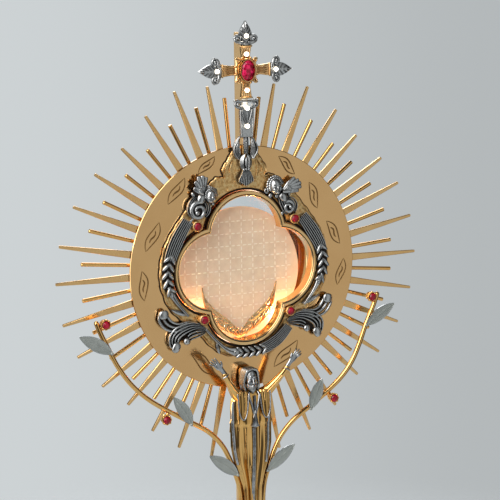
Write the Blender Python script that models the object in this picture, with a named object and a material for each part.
"""A standing monstrance: domed base, knop, figure with raised arms, sunburst disc, glazed
quatrefoil window with a host in its lunette, two vine branches and a jewelled cross.

Metres, +Z up, front towards -Y. The origin is the centre of the base's underside.
"""

import math

import bmesh
import bpy
from mathutils import Matrix, Vector

MM = 0.001

# --- driving dimensions, in millimetres ---------------------------------------------------
WINDOW_HEIGHT = 455.0  # the disc's centre above the table
DISC_R = 136.0
DISC_FRONT = 12.0  # Y of the disc's front face; the stem's axis is Y = 0
DISC_THICK = 2.0
GAP = 0.3  # air left between neighbouring pieces

RAY_PITCHES = 32  # long rays, and as many short ones between them
LONG_RAY_R, LONG_RAY_SWING = 199.0, 20.0  # tip radius on the diagonals, and how much it gains
SHORT_RAY_R, SHORT_RAY_SWING = 172.0, 18.0
CLIPPED_RAY_R = 206.0  # the two long rays beside the cross
LONG_BENT = {3: 0.9, 4: 0.7, 5: 1.2, 12: -1.0, 19: -0.8, 21: -0.8, 23: -0.8, 25: -0.6, 29: 0.8, 30: 0.8}  # degrees
SHORT_BENT = {0: 1.4, 2: 0.8, 3: 1.8, 4: 1.2, 5: 1.2, 6: 1.0, 7: 1.0, 11: -0.6, 16: -0.8, 18: -1.3, 19: -1.2,
              20: -1.0, 21: -1.0, 22: -1.0, 23: -0.8, 26: -0.7, 28: 0.6, 29: 0.9, 30: 0.6}
RING_IN, RING_OUT = 112.0, 124.0  # carrier rings that the rays are brazed to

LOBE_CENTRE = 38.3  # of the window's four lobes, from the window's centre
BEZEL_LOBE_R, OPENING_LOBE_R = 48.4, 42.7
BEZEL_FRONT, BEZEL_DEPTH = 5.0, 14.0
FRAME_FRONT, FRAME_THICK = 8.5, 3.2
ORNAMENT_THICK = 4.7

CASE_IN, CASE_OUT = 88.0, 91.0
CASE_BACK = 56.0
HINGE_X, HINGE_Y = 95.5, 58.0
CATCH_X = -84.7
PIN_R, KNUCKLE_R = 1.25, 3.0

HOST_R, HOST_DROP = 74.5, 8.0  # a large altar bread, and its centre below the window's
FOOT_TOP = -83.2  # top of the lunette's foot, from the window's centre
CLIP_Y, CLIP_Z = 31.6, -81.0  # axis of the lunette's clip

BASE_R = 102.0
ROD_R, ROD_BORE = 4.0, 4.4
CAPITAL_TOP = 165.0
TUBE_R = 2.8
COLLET_R, STONE_R = 6.0, 4.2
LEAF_HALF = 7.2

CROSS_FRONT, CROSS_BACK = -1.0, 5.0
CROSS_HEIGHT = 219.0  # cross centre above the window's centre
LED_SPOTS = {
    "top": (0.0, 256.0),
    "upper": (0.0, 236.5),
    "left": (-35.0, 219.0),
    "right": (35.0, 219.0),
    "lower": (0.0, 197.5),
    "shaft_upper": (0.0, 178.0),
    "shaft_lower": (0.0, 158.5),
}
LED_R, LED_BORE = 2.7, 3.0
POST_FRONT, POST_THICK = 21.6, 6.0
CROSS_POST_HALF, CROSS_POST_THICK = 3.8, 4.8

ROUND = 32  # facets of a large turned piece
MIDDLE_ROUND = 24
SMALL_ROUND = 16


# --- materials ----------------------------------------------------------------------------
def finish(name, rgb, roughness, metallic):
    """A Principled material of one colour."""
    material = bpy.data.materials.new(name)
    material.use_nodes = True
    shader = material.node_tree.nodes["Principled BSDF"]
    shader.inputs["Base Color"].default_value = (*rgb, 1.0)
    shader.inputs["Roughness"].default_value = roughness
    shader.inputs["Metallic"].default_value = metallic
    return material


# --- making objects -----------------------------------------------------------------------
def place(name, bm, material):
    """Turns a bmesh in millimetres into a named object with outward faces."""
    bmesh.ops.remove_doubles(bm, verts=bm.verts, dist=0.001)
    bmesh.ops.recalc_face_normals(bm, faces=bm.faces)
    bmesh.ops.scale(bm, vec=Vector((MM, MM, MM)), verts=bm.verts)
    mesh = bpy.data.meshes.new(name)
    bm.to_mesh(mesh)
    bm.free()
    mesh.shade_smooth()
    mesh.set_sharp_from_angle(angle=math.radians(35))
    obj = bpy.data.objects.new(name, mesh)
    bpy.context.collection.objects.link(obj)
    obj.data.materials.append(material)
    return obj


def pivot(obj, point, *passengers):
    """Puts the object's origin at point, on its joint's axis, and parents what rides on it."""
    place_at = Vector(point) * MM
    obj.data.transform(Matrix.Translation(-place_at))
    obj.location = place_at
    for rider in passengers:
        rider.parent = obj
        rider.matrix_parent_inverse = Matrix.Translation(-place_at)


def boolean(target, tool, operation):
    """Joins tool to target, or cuts it away, and removes tool."""
    modifier = target.modifiers.new(operation.lower(), "BOOLEAN")
    modifier.operation = operation
    modifier.solver = "EXACT"
    modifier.object = tool
    graph = bpy.context.evaluated_depsgraph_get()
    made = bpy.data.meshes.new_from_object(target.evaluated_get(graph))
    target.modifiers.remove(modifier)
    target.data = made
    bpy.data.objects.remove(tool)
    return target


def unite(target, *tools):
    for tool in tools:
        boolean(target, tool, "UNION")
    return target


def cut(target, *tools):
    for tool in tools:
        boolean(target, tool, "DIFFERENCE")
    return target


def turned(name, profile, material, axis="Z", centre=(0, 0, 0), segments=ROUND):
    """A solid of revolution. profile holds (radius, height) points round its section."""
    bm = bmesh.new()
    rings = []
    for radius, height in profile:
        if radius < 1e-6:
            rings.append([bm.verts.new((0, 0, height))])
            continue
        turns = [2 * math.pi * i / segments for i in range(segments)]
        rings.append([bm.verts.new((radius * math.cos(t), radius * math.sin(t), height)) for t in turns])
    closed = profile[0][0] > 1e-6 or profile[-1][0] > 1e-6
    pairs = list(zip(rings, rings[1:])) + ([(rings[-1], rings[0])] if closed else [])
    for low, high in pairs:
        for i in range(segments):
            corners = [low[i % len(low)], low[(i + 1) % len(low)], high[(i + 1) % len(high)], high[i % len(high)]]
            unique = list(dict.fromkeys(corners))
            if len(unique) > 2:
                bm.faces.new(unique)
    if axis == "Y":
        bmesh.ops.rotate(bm, cent=(0, 0, 0), matrix=Matrix.Rotation(math.radians(-90), 3, "X"), verts=bm.verts)
    if axis == "X":
        bmesh.ops.rotate(bm, cent=(0, 0, 0), matrix=Matrix.Rotation(math.radians(90), 3, "Y"), verts=bm.verts)
    bmesh.ops.translate(bm, vec=Vector(centre), verts=bm.verts)
    return place(name, bm, material)


def rod(name, radius, start, end, axis, centre, material, segments=SMALL_ROUND):
    """A plain cylinder from start to end along an axis through centre."""
    profile = [(0, start), (radius, start), (radius, end), (0, end)]
    return turned(name, profile, material, axis, centre, segments)


def box(name, low, high, material):
    bm = bmesh.new()
    bmesh.ops.create_cube(bm, size=1.0)
    size = [h - l for l, h in zip(low, high)]
    middle = [(h + l) / 2 for l, h in zip(low, high)]
    bmesh.ops.scale(bm, vec=Vector(size), verts=bm.verts)
    bmesh.ops.translate(bm, vec=Vector(middle), verts=bm.verts)
    return place(name, bm, material)


def plate(name, outline, front, thick, material, holes=(), plane="XZ"):
    """A flat piece. outline and holes are (x, z) loops seen from the front, or (y, z) loops
    for plane YZ, where front is the lowest X."""
    bm = bmesh.new()
    layers = []
    for depth in (front, front + thick):
        if plane == "YZ":
            layers.append([bm.verts.new((depth, u, v)) for u, v in outline])
        else:
            layers.append([bm.verts.new((u, depth, v)) for u, v in outline])
    near, far = layers
    bm.faces.new(near)
    bm.faces.new(far[::-1])
    count = len(outline)
    for i in range(count):
        bm.faces.new((near[i], far[i], far[(i + 1) % count], near[(i + 1) % count]))
    made = place(name, bm, material)
    for hole in holes:
        cut(made, plate("hole", hole, front - 1, thick + 2, material, plane=plane))
    return made


def swept(name, points, radii, material, sides=8, flat=1.0):
    """A bar along points, with a radius at each. flat squeezes its section along Y."""
    bm = bmesh.new()
    points = [Vector(p) for p in points]
    rings = []
    for i, point in enumerate(points):
        along = (points[min(i + 1, len(points) - 1)] - points[max(i - 1, 0)]).normalized()
        across = along.cross(Vector((0, 1, 0))).normalized()
        depth = across.cross(along).normalized() * flat
        turns = [2 * math.pi * (k + 0.5) / sides for k in range(sides)]
        ring = [point + radii[i] * (math.cos(t) * across + math.sin(t) * depth) for t in turns]
        rings.append([bm.verts.new(p) for p in ring])
    for low, high in zip(rings, rings[1:]):
        for k in range(sides):
            bm.faces.new((low[k], low[(k + 1) % sides], high[(k + 1) % sides], high[k]))
    bm.faces.new(rings[0])
    bm.faces.new(rings[-1])
    return place(name, bm, material)


def lofted(name, sections, material, sides=20):
    """Stacked ellipses: (z, half width, half depth, Y of the centre) each."""
    bm = bmesh.new()
    rings = []
    for z, wide, deep, y in sections:
        turns = [2 * math.pi * k / sides for k in range(sides)]
        rings.append([bm.verts.new((wide * math.cos(t), y + deep * math.sin(t), z)) for t in turns])
    for low, high in zip(rings, rings[1:]):
        for k in range(sides):
            bm.faces.new((low[k], low[(k + 1) % sides], high[(k + 1) % sides], high[k]))
    bm.faces.new(rings[0])
    bm.faces.new(rings[-1])
    return place(name, bm, material)


# --- outlines -----------------------------------------------------------------------------
def at_window(points):
    """(x, z) measured from the window's centre, as (x, z) above the table."""
    return [(x, z + WINDOW_HEIGHT) for x, z in points]


def circle(radius, count, centre=(0.0, 0.0)):
    turns = [2 * math.pi * i / count for i in range(count)]
    return [(centre[0] + radius * math.cos(t), centre[1] + radius * math.sin(t)) for t in turns]


def ellipse(half_wide, half_high, count, centre=(0.0, 0.0)):
    return [(centre[0] + half_wide * x, centre[1] + half_high * z) for x, z in circle(1.0, count)]


def quatrefoil(lobe_r, steps=10):
    """Four lobes whose arcs meet on the diagonals."""
    notch = (LOBE_CENTRE + math.sqrt(2 * lobe_r**2 - LOBE_CENTRE**2)) / 2
    start = math.atan2(notch - LOBE_CENTRE, notch)
    points = []
    for quarter in range(4):
        turn = math.radians(90 * quarter)
        for i in range(steps):
            angle = start + (math.pi - 2 * start) * i / steps
            x, z = lobe_r * math.cos(angle), LOBE_CENTRE + lobe_r * math.sin(angle)
            points.append((x * math.cos(turn) - z * math.sin(turn), x * math.sin(turn) + z * math.cos(turn)))
    return points


def smooth(points, steps, closed=False):
    """A Catmull-Rom curve through points, with steps pieces between neighbours."""
    points = [Vector(p) for p in points]
    count = len(points)
    made = []
    for i in range(count if closed else count - 1):
        if closed:
            a, b, c, d = (points[(i + k) % count] for k in (-1, 0, 1, 2))
        else:
            a, b, c, d = (points[min(max(i + k, 0), count - 1)] for k in (-1, 0, 1, 2))
        for s in range(steps):
            t = s / steps
            made.append(
                0.5 * (2 * b + (c - a) * t + (2 * a - 5 * b + 4 * c - d) * t**2 + (3 * b - a - 3 * c + d) * t**3)
            )
    return made if closed else made + [points[-1]]


def ribbon(spine, widths, steps=3):
    """The outline of a band along spine, with a half width at each of its points."""
    line = smooth(spine, steps)
    half = [w[0] for w in smooth([(w, 0.0) for w in widths], steps)]
    left, right = [], []
    for i, point in enumerate(line):
        along = (line[min(i + 1, len(line) - 1)] - line[max(i - 1, 0)]).normalized()
        side = Vector((-along.y, along.x)) * half[i]
        left.append(tuple(point + side))
        right.append(tuple(point - side))
    return left + right[::-1]


def almond(base, tip, half_width, steps=6):
    """A pointed leaf from base to tip."""
    base, tip = Vector(base), Vector(tip)
    side = Vector((base.y - tip.y, tip.x - base.x)).normalized() * half_width
    shares = [i / steps for i in range(steps + 1)]
    up = [tuple(base.lerp(tip, s) + side * math.sin(math.pi * s)) for s in shares]
    down = [tuple(base.lerp(tip, s) - side * math.sin(math.pi * s)) for s in shares[1:-1]]
    return up + down[::-1]


def mirrored(points, side):
    """side is 1 for the right and -1 for the left."""
    return [(side * p[0], *p[1:]) for p in points]


# --- base ---------------------------------------------------------------------------------
def base_foot(gold):
    """A domed shell on a vertical rim, open below, with a ledge for the base plate."""
    profile = [
        (98, 0), (101, 0), (BASE_R, 1.2), (BASE_R, 9), (100, 10.4), (96, 10.8), (94, 13), (88, 16), (76, 20.5),
        (62, 26), (48, 33), (36, 41.5), (26, 52), (19, 63), (17, 70), (18.5, 72), (18.5, 75), (ROD_BORE, 75),
        (ROD_BORE, 56), (14, 56), (23, 47), (41, 31), (60, 22.4), (86, 12.6), (91, 8.6), (91, 3.1), (95, 3.1),
        (95, 0),
    ]
    foot = turned("base_foot", profile, gold)
    pocket = box("pocket", (-9, 88, 3.3), (9, 98.8, 7.9), gold)
    slot = box("slot", (-5.5, 95, 3.9), (5.5, 112, 7.3), gold)
    return cut(foot, pocket, slot)


BATTERY_BAY = ((-24.0, 14.0), (24.0, 50.0))  # (x, y) corners of the hole in the base plate


def base_plate(steel):
    """The flat bottom cover, with the battery bay's opening and a hole under the nut."""
    rim = [(x, y) for x, y in circle(94.6, ROUND)]
    (x0, y0), (x1, y1) = BATTERY_BAY
    bay = [(x0, y0), (x1, y0), (x1, y1), (x0, y1)]
    made = plate("base_plate", rim, -2.8, 2.2, steel, holes=[bay, circle(9.5, SMALL_ROUND)])
    made.data.transform(Matrix.Rotation(math.radians(-90), 4, "X"))
    return made


def battery_parts(dark, metal):
    """A box over the bay, three cells lying along X, and the hinged cover."""
    (x0, y0), (x1, y1) = BATTERY_BAY
    shell = box("battery_box", (x0 - 2, y0 - 2, 3.2), (x1 + 2, y1 + 2, 17.5), dark)
    cut(shell, box("inside", (x0 + 0.1, y0 + 0.1, 3), (x1 - 0.1, y1 - 0.1, 16), dark))
    cells = None
    for i in range(3):
        cell = rod("battery_cells", 5.2, -22.2, 22.2, "X", (0, y0 + 7.8 + 10.2 * i, 9.6), metal, SMALL_ROUND)
        cells = cell if cells is None else unite(cells, cell)
    gap = 0.4
    cover = box("battery_cover", (x0 + gap, y0 + gap, 0.8), (x1 - gap, y1 - gap, 2.6), dark)
    pivot(cover, (0, y0 + gap, 0.8))


def power_switch(dark):
    """The slider of the light's switch: a nub in the rim's slot, on a hidden flange."""
    nub = box("power_switch", (-4.3, 96, 4.3), (-0.7, BASE_R - 0.3, 6.9), dark)
    return unite(nub, box("flange", (-6.7, 95.4, 3.7), (1.7, 98.4, 7.5), dark))


def stem(gold, steel):
    """Tie bolt, knop and capital, stacked on the stem's axis."""
    bolt = turned("tie_bolt", [(0, 47.5), (8.6, 47.5), (8.6, 55), (10.5, 55), (10.5, 55.7), (0, 55.7)], steel,
                  segments=6)
    unite(bolt, rod("shank", ROD_R, 50, CAPITAL_TOP + 22, "Z", (0, 0, 0), steel))
    ball = [(24 * math.cos(math.radians(a)), 105 + 21 * math.sin(math.radians(a))) for a in range(-60, 61, 15)]
    profile = [(ROD_BORE, 75.3), (15.5, 75.3), (15.5, 78), (10.5, 81), (10.5, 85), *ball,
               (9.5, 127), (9.5, 132), (13, 135), (13, 138), (ROD_BORE, 138)]
    turned("knop", profile, gold, segments=MIDDLE_ROUND)
    profile = [(ROD_BORE, 141.7), (13, 141.7), (13, 144), (10.5, 147), (12, 153), (18, 159), (21, 161.5),
               (21, CAPITAL_TOP), (ROD_BORE, CAPITAL_TOP)]
    capital = turned("capital", profile, gold, segments=MIDDLE_ROUND)
    for side in (1, -1):
        cut(capital, rod("socket", TUBE_R + GAP, 158, 170, "Z", (side * 13.6, 0, 0), gold, 12))


# --- figure -------------------------------------------------------------------------------
def figure(gold, silver):
    """A robed figure with raised arms; the robe stands on the capital over the tie rod."""
    h = WINDOW_HEIGHT
    robe = lofted("figure_robe", [
        (CAPITAL_TOP + GAP, 9.5, 8.5, 0), (h - 270, 9.8, 8.5, 0), (h - 248, 10.6, 8.5, 0), (h - 234, 14, 9, 0),
        (h - 220, 18.5, 9.5, 0), (h - 200, 22.5, 10, 0), (h - 175, 24, 10.5, 0), (h - 155, 24, 10.5, 0),
        (h - 144, 22.5, 9.5, 0.5), (h - 138, 10, 7, 1),
    ], gold)
    for side in (1, -1):
        arm = [(side * 14, 0, h - 143.5), (side * 23, -4, h - 136), (side * 30.5, -10, h - 125),
               (side * 38, -15, h - 111)]
        unite(robe, swept("sleeve", arm, (8.0, 5.6, 4.0, 3.2), gold, 10))
        name = "figure_hand_right" if side > 0 else "figure_hand_left"
        palm = [(side * 38.4, -15.3, h - 110.2), (side * 42, -16, h - 105), (side * 48, -16, h - 99),
                (side * 54, -15.5, h - 94)]
        swept(name, palm, (2.4, 3.2, 3.6, 1.6), silver, 8, flat=0.6)
    cut(robe, rod("bore", ROD_BORE, 150, CAPITAL_TOP + 24, "Z", (0, 0, 0), gold))
    lofted("figure_head", [
        (h - 137.6, 4.6, 5.0, 1), (h - 133, 7.0, 8.0, 0.5), (h - 127, 10.3, 10.0, 0), (h - 120, 10.8, 10.8, 0),
        (h - 113.5, 8.8, 9.0, 0.5), (h - 110, 5.2, 5.4, 1),
    ], silver, 16)


def spine(steel):
    """An L bracket: its foot is clamped under the capital, its post carries the case."""
    low, top = 138.3, WINDOW_HEIGHT - CASE_OUT - GAP
    side_view = [(-9, low), (POST_FRONT + POST_THICK, low), (POST_FRONT + POST_THICK, top), (POST_FRONT, top),
                 (POST_FRONT, low + 3), (-9, low + 3)]
    bracket = plate("spine", side_view, -7, 14, steel, plane="YZ")
    return cut(bracket, rod("bore", ROD_BORE, 130, 150, "Z", (0, 0, 0), steel))


# --- sunburst -----------------------------------------------------------------------------
def ray_reach(least, gain, turn):
    """Tips stand further out along the cross's arms than on the diagonals."""
    return least + gain * abs(math.cos(2 * turn))


def sunburst(gold):
    """The disc and, behind it, a carrier ring of flat tapered rays and one of round rays."""
    plate("sun_disc", at_window(circle(DISC_R, 64)), DISC_FRONT, DISC_THICK, gold,
          holes=[at_window(quatrefoil(BEZEL_LOBE_R + GAP))])
    outline = []
    for k in range(RAY_PITCHES):
        turn = 2 * math.pi * k / RAY_PITCHES + math.radians(LONG_BENT.get(k, 0))
        out, side = Vector((math.sin(turn), math.cos(turn))), Vector((math.cos(turn), -math.sin(turn)))
        if k == 0:  # the cross stands here
            outline.append(tuple(out * RING_OUT))
            continue
        tip = CLIPPED_RAY_R if k in (1, RAY_PITCHES - 1) else ray_reach(LONG_RAY_R, LONG_RAY_SWING, turn)
        for reach, half in ((RING_OUT, -4.4), (tip, -1.5), (tip, 1.5), (RING_OUT, 4.4)):
            outline.append(tuple(out * reach + side * half))
    ring = circle(RING_IN, RAY_PITCHES * 2)
    layer = DISC_FRONT + DISC_THICK + GAP
    plate("long_rays", at_window(outline), layer, 2.2, gold, holes=[at_window(ring)])
    layer += 2.2 + 0.8
    carrier = plate("short_rays", at_window(circle(RING_OUT, 64)), layer, 3.4, gold, holes=[at_window(ring)])
    for k in range(RAY_PITCHES):
        turn = 2 * math.pi * (k + 0.5) / RAY_PITCHES + math.radians(SHORT_BENT.get(k, 0))
        tip = ray_reach(SHORT_RAY_R, SHORT_RAY_SWING, turn)
        ends = [(math.sin(turn) * r, layer + 1.7, WINDOW_HEIGHT + math.cos(turn) * r) for r in (118, tip)]
        unite(carrier, swept("ray", ends, (2.2, 2.2), gold, 6))


# --- window and case ----------------------------------------------------------------------
def ring_profile(inner, outer, front, back):
    return [(inner, front), (outer, front), (outer, back), (inner, back)]


def window(gold, glass, lamp):
    """The quatrefoil bezel, its pane, and the light ring behind the pane."""
    plate("window_bezel", at_window(quatrefoil(BEZEL_LOBE_R)), BEZEL_FRONT, BEZEL_DEPTH, gold,
          holes=[at_window(quatrefoil(OPENING_LOBE_R))])
    pane_front = BEZEL_FRONT + BEZEL_DEPTH + GAP
    plate("window_glass", at_window(quatrefoil(BEZEL_LOBE_R - 0.6)), pane_front, 2.0, glass)
    centre = (0, 0, WINDOW_HEIGHT)
    turned("light_ring", ring_profile(83.2, CASE_IN - GAP, 21.8, 24.0), lamp, "Y", centre, 48)


def case(gold):
    """The drum behind the disc: flange, wall, the lunette's rail, two hinge knuckles, a keeper."""
    centre = (0, 0, WINDOW_HEIGHT)
    flange_front, flange_back = DISC_FRONT + DISC_THICK + GAP, DISC_FRONT + DISC_THICK + 2.3
    profile = [(CASE_IN, flange_front), (99, flange_front), (99, flange_back), (CASE_OUT, flange_back),
               (CASE_OUT, CASE_BACK), (CASE_IN, CASE_BACK)]
    drum = turned("luna_case", profile, gold, "Y", centre, 48)
    rail_top = WINDOW_HEIGHT + FOOT_TOP - 2.3
    unite(drum, box("rail", (-6, 25, WINDOW_HEIGHT - CASE_IN - 1), (6, 53, rail_top), gold))
    keeper = box("keeper", (-96, 49, WINDOW_HEIGHT - 3), (-91.4, 65, WINDOW_HEIGHT + 3), gold)
    unite(keeper, box("foot", (-95, 49, WINDOW_HEIGHT - 3), (-89.5, 55, WINDOW_HEIGHT + 3), gold))
    unite(drum, cut(keeper, box("slot", (-99, 59.9, WINDOW_HEIGHT - 1.6), (-85, 62.3, WINDOW_HEIGHT + 9), gold)))
    for low, high in ((-14, -5.2), (5.2, 14)):
        lug = box("lug", (89, 50, WINDOW_HEIGHT + low), (HINGE_X, 55.7, WINDOW_HEIGHT + high), gold)
        unite(lug, box("web", (91.4, 53, WINDOW_HEIGHT + low), (HINGE_X, HINGE_Y, WINDOW_HEIGHT + high), gold))
        knuckle = rod("knuckle", KNUCKLE_R, low, high, "Z", (HINGE_X, HINGE_Y, WINDOW_HEIGHT), gold)
        unite(drum, lug, knuckle)
    return cut(drum, rod("bore", PIN_R + 0.1, -20, 20, "Z", (HINGE_X, HINGE_Y, WINDOW_HEIGHT), gold))


def rear_door(gold, glass, steel):
    """The hinged ring that closes the drum, its pane, pin and turning catch. The catch's arm
    stands upright when the door is free, and drops into the keeper's slot when it is turned."""
    centre = (0, 0, WINDOW_HEIGHT)
    front, back = CASE_BACK + GAP, CASE_BACK + GAP + 3.0
    door = turned("rear_door", ring_profile(79, 90.5, front, back), gold, "Y", centre, 48)
    lug = box("lug", (86, front, WINDOW_HEIGHT - 4.8), (HINGE_X, back, WINDOW_HEIGHT + 4.8), gold)
    knuckle = rod("knuckle", KNUCKLE_R, -4.8, 4.8, "Z", (HINGE_X, HINGE_Y, WINDOW_HEIGHT), gold)
    unite(door, lug, knuckle)
    cut(door, rod("bore", PIN_R + 0.1, -20, 20, "Z", (HINGE_X, HINGE_Y, WINDOW_HEIGHT), gold))
    pane = rod("rear_glass", 85, CASE_BACK - 2.0, CASE_BACK, "Y", centre, glass, 48)
    rod("hinge_pin", PIN_R, -14.5, 14.5, "Z", (HINGE_X, HINGE_Y, WINDOW_HEIGHT), steel)
    grip = [(0, 0), (3.0, 0), (3.0, 3.2), (1.8, 4.0), (1.8, 6), (4.0, 7.5), (4.6, 9.5), (3.6, 11.5), (0, 12.3)]
    catch = turned("door_catch", grip, gold, "Y", (CATCH_X, back + GAP, WINDOW_HEIGHT), 12)
    arm = box("arm", (CATCH_X - 1.3, back + 1.0, WINDOW_HEIGHT), (CATCH_X + 1.3, back + 2.4, WINDOW_HEIGHT + 9.6), gold)
    unite(catch, arm)
    pivot(catch, (CATCH_X, back + GAP, WINDOW_HEIGHT))
    pivot(door, (HINGE_X, HINGE_Y, WINDOW_HEIGHT), pane, catch)


def lunette(gold, wafer):
    """A foot that straddles the rail, two wheat ears before the host, a hinged clip behind."""
    z = WINDOW_HEIGHT
    saddle = [(-12, -86.6), (-6.5, -86.6), (-6.5, FOOT_TOP - 2), (6.5, FOOT_TOP - 2), (6.5, -86.6),
              (12, -86.6), (12, FOOT_TOP), (-12, FOOT_TOP)]
    foot = plate("lunette", at_window(saddle), 25.2, 10.3, gold)
    inner_edge = [(-38, -34), (-26, -56), (-12, -69), (0, -73), (12, -69), (26, -56), (38, -34)]
    outer_edge = [(44, -27), (43, -45), (32, -63), (14, -76), (0, FOOT_TOP - 1), (-14, -76), (-32, -63),
                  (-43, -45), (-44, -27)]
    ears = [tuple(p) for p in smooth(inner_edge + outer_edge, 2, closed=True)]
    unite(foot, plate("ears", at_window(ears), 25.6, 2.2, gold))
    for low, high in ((-8.8, -6.4), (6.4, 8.8)):
        lug = box("lug", (low, CLIP_Y - 1.7, z + FOOT_TOP - 1), (high, CLIP_Y + 1.7, z + CLIP_Z), gold)
        unite(foot, lug, rod("eye", 1.7, low, high, "X", (0, CLIP_Y, z + CLIP_Z), gold, 12))
    cut(foot, rod("bore", 0.95, -12, 12, "X", (0, CLIP_Y, z + CLIP_Z), gold, 12))
    wafer_disc = rod("host", HOST_R, 28.2, 29.6, "Y", (0, 0, z - HOST_DROP), wafer, 48)
    arc = [math.radians(a) for a in range(-125, -54, 7)]
    band = [(r * math.cos(a), -HOST_DROP + r * math.sin(a)) for r, turn in ((70, 1), (62, -1)) for a in arc[::turn]]
    clip = plate("lunette_clip", at_window(band), 30.0, 1.4, gold)
    tab = box("tab", (-6, 30.0, z + CLIP_Z), (6, 31.4, z - HOST_DROP - 66), gold)
    barrel = rod("barrel", 1.5, -6.1, 6.1, "X", (0, CLIP_Y, z + CLIP_Z), gold, 12)
    unite(clip, tab, barrel, rod("pin", 0.7, -8.7, 8.7, "X", (0, CLIP_Y, z + CLIP_Z), gold, 12))
    pivot(clip, (0, CLIP_Y, z + CLIP_Z))
    pivot(foot, (0, 25.2, z + FOOT_TOP), wafer_disc, clip)


# --- ornament on the disc -----------------------------------------------------------------
FRAME_EDGE = [  # right half of the cast frame's edge, top to bottom
    (0, 137), (12, 133), (20, 122), (27, 111), (24, 103), (34, 103), (44, 95), (58, 85), (70, 70), (84, 52),
    (95, 34), (102, 10), (101, -14), (92, -37), (78, -52), (62, -64), (44, -84), (26, -96), (0, -99),
]
STONES = [(57, 50), (-57, 50), (-51, -51), (51, -51)]


def cast_frame(gold, ruby):
    """The scrolled gold border round the window, with four stones in collets."""
    edge = FRAME_EDGE + mirrored(FRAME_EDGE[-2:0:-1], -1)
    loop = [tuple(p) for p in smooth(edge, 2, closed=True)]
    frame = plate("cast_frame", at_window(loop), FRAME_FRONT, FRAME_THICK, gold,
                  holes=[at_window(quatrefoil(BEZEL_LOBE_R + 0.9))])
    for x, z in STONES:
        centre = (x * 1.035, 0, z * 1.035 + WINDOW_HEIGHT)
        unite(frame, rod("collet", 5.2, 3.6, FRAME_FRONT + 1.5, "Y", centre, gold))
        side = ("upper" if z > 0 else "lower") + ("_right" if x > 0 else "_left")
        dome = [(0, 1.2), (2.0, 1.6), (3.4, 2.8), (3.4, 3.3), (0, 3.3)]
        turned("window_stone_" + side, dome, ruby, "Y", centre, 12)
    return frame


def ornaments(silver):
    """Three wheat ears, two acanthus scrolls and two winged cherubs."""
    front = FRAME_FRONT - GAP - ORNAMENT_THICK
    ear = [(71, 61), (83.5, 38), (92.5, 16), (94.5, -8), (86, -28), (71, -47)]
    ear_half = (5.0, 7.4, 6.4, 6.4, 2.6, 1.6)
    scroll = [(57, -69), (70, -61), (84, -58), (94, -66), (92, -80), (82, -83)]
    scroll_half = (4.0, 5.0, 6.5, 6.5, 5.0, 3.5)
    curl = [(84, -52), (96, -49), (103, -41), (101, -33)]
    for side, name in ((1, "right"), (-1, "left")):
        plate("wheat_ear_" + name, at_window(ribbon(mirrored(ear, side), ear_half)), front, ORNAMENT_THICK, silver)
        leaf = plate("scroll_" + name, at_window(ribbon(mirrored(scroll, side), scroll_half)),
                     DISC_FRONT - GAP - 8, 8, silver)
        lobe = plate("curl", at_window(ribbon(mirrored(curl, side), (3.5, 4.5, 4.5, 3.0))),
                     DISC_FRONT - GAP - 8, 8, silver)
        unite(leaf, lobe)
        cut(leaf, _frame_clearance(silver))
    bottom = [(51, -70), (37, -84), (15, -93.5), (-12, -94), (-32, -84), (-50, -67)]
    half = (4.6, 6.0, 5.8, 5.4, 2.2, 1.6)
    plate("wheat_ear_bottom", at_window(ribbon(bottom, half)), front, ORNAMENT_THICK, silver)
    cherub = {
        "right": [(27, 92), (34, 101), (44, 99), (50, 93), (63, 94), (60, 86), (54, 80), (58, 68), (52, 60), (44, 62),
                  (42, 74), (32, 82)],
        "left": [(-38, 92), (-47, 99), (-52, 107), (-60, 105), (-60, 92), (-66, 78), (-68, 66), (-58, 60), (-50, 64),
                 (-48, 76), (-39, 82)],
    }
    for name, outline in cherub.items():
        loop = [tuple(p) for p in smooth(outline, 2, closed=True)]
        plate("cherub_" + name, at_window(loop), FRAME_FRONT - GAP - 10, 10, silver)


def _frame_clearance(material):
    """A block as wide as the cast frame, where the scrolls step over it."""
    edge = FRAME_EDGE + mirrored(FRAME_EDGE[-2:0:-1], -1)
    loop = [tuple(p * 1.006) for p in smooth(edge, 2, closed=True)]
    return plate("clearance", at_window(loop), FRAME_FRONT - GAP, 8.0, material)


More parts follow.
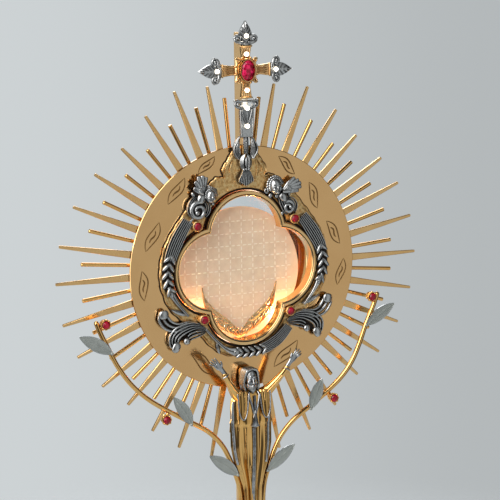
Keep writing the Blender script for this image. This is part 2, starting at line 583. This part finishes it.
# --- cross --------------------------------------------------------------------------------
def cross(gold, silver, ruby, lamp):
    """Gold middle, silver ends and shaft, a ruby in its setting, and lamps from behind."""
    h = CROSS_HEIGHT
    thick = CROSS_BACK - CROSS_FRONT
    arm, half, reach = 6.2, 13.5, 29.0
    quarter = [(arm, h + 26.7), (arm, h + half), (half, h + half), (half, h + arm), (reach, h + arm)]
    lower = [(reach, h - arm), (half, h - arm), (half, h - half), (arm, h - half), (arm, 188.5)]
    outline = quarter + lower + mirrored((quarter + lower)[::-1], -1)
    pieces = [plate("cross_body", at_window(outline), CROSS_FRONT, thick, gold)]
    tip = [(6.2, 0), (14, 2.5), (14, 9), (8.5, 12), (7, 19), (0, 26.5)]
    fleur = tip + mirrored(tip[-2::-1], -1)
    for name, turn in (("top", 0), ("left", 90), ("right", -90)):
        c, s = math.cos(math.radians(turn)), math.sin(math.radians(turn))
        start = (27.0 if name == "top" else reach + GAP)
        loop = [(x * c - (z + start) * s, h + x * s + (z + start) * c) for x, z in fleur]
        pieces.append(plate("cross_tip_" + name, at_window(loop), CROSS_FRONT, thick, silver))
    shaft = [(7.5, 147), (7.5, 176), (15, 179), (15, 186), (9, 188.2)]
    pieces.append(plate("cross_shaft", at_window(shaft + mirrored(shaft[::-1], -1)), CROSS_FRONT, thick, silver))
    cup = [(-6.5, 148), (-11, 142), (-12, 133), (-9, 125), (-6, 121), (-5, 113), (-9, 101), (-10.5, 95), (0, 91.5)]
    unite(pieces[-1], plate("cup", at_window(cup + mirrored(cup[-2::-1], -1)), 2.2, 6.0, silver))
    for x, z in LED_SPOTS.values():
        for piece in pieces:
            low, high = _span(piece)
            if low.x < x < high.x and low.z < z + WINDOW_HEIGHT < high.z and _holds(piece, x, z + WINDOW_HEIGHT):
                cut(piece, rod("bore", LED_BORE, -20, 20, "Y", (x, 0, z + WINDOW_HEIGHT), gold, 12))
    _light_board(lamp)
    setting = plate("setting", at_window(ellipse(10.8, 13.3, 24, (0, h))), CROSS_FRONT - 3, 3.5, gold,
                    holes=[at_window(ellipse(6.9, 10.4, 24, (0, h)))])
    unite(pieces[0], setting)
    stone = turned("cross_ruby", [(0, -5.5), (3.6, -5.0), (5.6, -3.5), (6.5, -1.3), (6.3, CROSS_FRONT - GAP),
                                  (0, CROSS_FRONT - GAP)], ruby, "Y", (0, 0, 0), 24)
    stone.data.transform(Matrix.Diagonal((1, 1, 10.0 / 6.5, 1)))
    stone.data.transform(Matrix.Translation((0, 0, (h + WINDOW_HEIGHT) * MM)))


def _span(obj):
    corners = [Vector(c) / MM for c in obj.bound_box]
    return [Vector([pick(c[k] for c in corners) for k in range(3)]) for pick in (min, max)]


def _holds(obj, x, z):
    """Whether the piece has material in the line of sight at (x, z)."""
    middle = (CROSS_FRONT + CROSS_BACK) / 2
    hit, _, _, _ = obj.ray_cast(Vector((x, middle - 20, z)) * MM, Vector((0, 1, 0)))
    return hit


def _light_board(lamp):
    """A cross-shaped strip behind the cross, with seven domed lamps through its bores."""
    h = CROSS_HEIGHT
    front = CROSS_BACK + GAP
    arm, hub = 3.6, 9.0
    hub_arc = [(hub * math.cos(math.radians(a)), h + hub * math.sin(math.radians(a))) for a in (30, 45, 60)]
    right = [(arm, 259), *hub_arc[::-1], (38, h + arm), (38, h - arm),
             *[(x, 2 * h - z) for x, z in hub_arc], (arm, 155)]
    outline = right + mirrored(right[::-1], -1)
    board = plate("cross_lamps", at_window(outline), front, 1.5, lamp, holes=[at_window(circle(5.5, 16, (0, h)))])
    dome = [(0, CROSS_FRONT - 1.9), (1.6, CROSS_FRONT - 1.4), (LED_R, CROSS_FRONT), (LED_R, front + 0.8),
            (0, front + 0.8)]
    for x, z in LED_SPOTS.values():
        unite(board, turned("dome", dome, lamp, "Y", (x, 0, z + WINDOW_HEIGHT), 12))


def cross_post(gold):
    """A flat bar behind the disc that carries the cross on two bosses."""
    low, top = WINDOW_HEIGHT + CASE_OUT + GAP, WINDOW_HEIGHT + 260
    back = POST_FRONT + CROSS_POST_THICK
    bar = box("cross_post", (-CROSS_POST_HALF, POST_FRONT, low), (CROSS_POST_HALF, back, top), gold)
    upper = rod("boss", 4.8, CROSS_BACK + GAP, POST_FRONT + 1, "Y", (0, 0, WINDOW_HEIGHT + CROSS_HEIGHT), gold)
    lower = rod("boss", 3.2, 8.5, POST_FRONT + 1, "Y", (0, 0, WINDOW_HEIGHT + 141.5), gold)
    return unite(bar, upper, lower)


# --- vine branches ------------------------------------------------------------------------
BRANCH = [  # the right branch from its tip to the capital, measured from the window's centre
    (170.5, -43), (165.5, -56), (157, -74), (147.5, -95), (135, -116), (118.5, -134), (97, -150), (74, -164.5),
    (53, -178), (37.5, -194), (28, -211), (21.5, -228), (16.5, -243), (14.2, -258), (13.6, -275), (13.6, -293),
]
BRANCH_STONES = [(161.5, -44.5), (103, -157.5)]
BRANCH_LEAVES = [((155, -77), (191, -55)), ((73.5, -167), (91, -133.5)), ((18.5, -232), (52.5, -205.5))]


def leaning(points, side):
    """A branch's points on one side: above the lower stones both branches lean to the left."""
    found = []
    for x, z in mirrored(points, side):
        rise = min(max((z + 172) / 100, 0), 1)
        found.append((x - 9.5 * rise * rise * (3 - 2 * rise), z))
    return found


def branches(gold, silver, ruby):
    """Two curved tubes with brazed collets; leaves and stones are separate pieces."""
    for side, name in ((1, "right"), (-1, "left")):
        route = [(x, 0.0, z + WINDOW_HEIGHT) for x, z in leaning(BRANCH, side)]
        line = smooth(route, 2)
        tube = swept("branch_" + name, line, [TUBE_R] * len(line), gold, 6)
        stones = [(x, z + WINDOW_HEIGHT) for x, z in leaning(BRANCH_STONES, side)]
        foot_x = leaning([(98, -150)], side)[0][0]
        stalk = [(foot_x, 0, WINDOW_HEIGHT - 150), (stones[1][0], 0, stones[1][1])]
        unite(tube, swept("stalk", stalk, (2.0, 2.0), gold, 8))
        for i, (x, z) in enumerate(stones, 1):
            unite(tube, rod("collet", COLLET_R, -6.0, 3.5, "Y", (x, 0, z), gold))
            dome = [(0, -8.4), (2.4, -8.0), (STONE_R, -6.9), (STONE_R, -6.3), (0, -6.3)]
            turned(f"branch_stone_{name}_{i}", dome, ruby, "Y", (x, 0, z), 12)
        for i, (base, tip) in enumerate(BRANCH_LEAVES, 1):
            outline = almond(*leaning((base, tip), side), LEAF_HALF)
            plate(f"branch_leaf_{name}_{i}", at_window(outline), -TUBE_R - GAP - 1.3, 1.3, silver)


def main():
    for obj in list(bpy.data.objects):
        bpy.data.objects.remove(obj)
    gold = finish("gold", (0.83, 0.60, 0.30), 0.28, 1.0)
    silver = finish("silver", (0.55, 0.56, 0.57), 0.35, 1.0)
    steel = finish("steel", (0.60, 0.60, 0.62), 0.35, 1.0)
    dark = finish("dark_plastic", (0.05, 0.05, 0.05), 0.5, 0.0)
    ruby = finish("ruby", (0.55, 0.01, 0.05), 0.08, 0.0)
    glass = finish("glass", (0.90, 0.95, 0.96), 0.03, 0.0)
    wafer = finish("wafer", (0.90, 0.80, 0.66), 0.7, 0.0)
    lamp = finish("lamp", (1.0, 0.93, 0.75), 0.4, 0.0)

    base_foot(gold)
    base_plate(steel)
    battery_parts(dark, steel)
    power_switch(dark)
    stem(gold, steel)
    figure(gold, silver)
    spine(gold)
    sunburst(gold)
    window(gold, glass, lamp)
    case(gold)
    rear_door(gold, glass, steel)
    lunette(gold, wafer)
    cast_frame(gold, ruby)
    ornaments(silver)
    cross(gold, silver, ruby, lamp)
    cross_post(gold)
    branches(gold, silver, ruby)


main()
